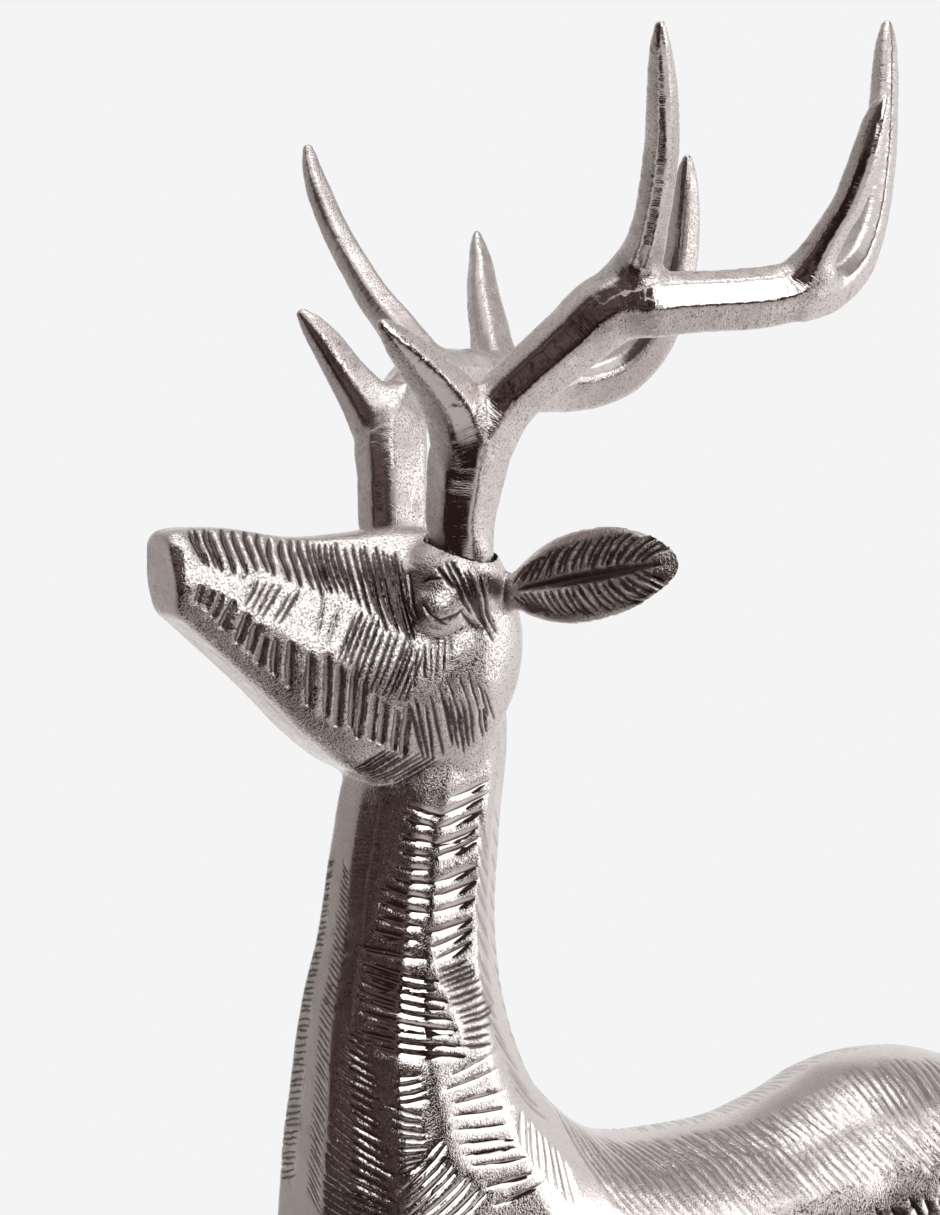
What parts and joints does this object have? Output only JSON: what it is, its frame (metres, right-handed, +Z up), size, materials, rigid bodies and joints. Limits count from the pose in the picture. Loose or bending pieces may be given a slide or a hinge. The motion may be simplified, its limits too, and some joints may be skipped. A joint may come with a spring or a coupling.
{
  "type": "reindeer figurine",
  "caption": "Standing reindeer figurine in polished cast metal, head raised, with carved fur strokes, branching antlers set in sockets on the crown and a low oval base.",
  "frame": {"origin": "centre of the base's underside", "axes": "+Z up; the reindeer faces -X and its left side is -Y"},
  "size_m": [0.2808, 0.201, 0.5281],
  "materials": {
    "reindeer": "nickel-plated cast aluminium, polished over carved strokes",
    "antler_left": "nickel-plated cast aluminium, filed and polished",
    "antler_right": "nickel-plated cast aluminium, filed and polished",
    "base": "nickel-plated cast aluminium, polished"
  },
  "bodies": {
    "root": {"reindeer": "reindeer", "antler_left": "antler_left", "antler_right": "antler_right", "base": "base"}
  },
  "joints": []
}
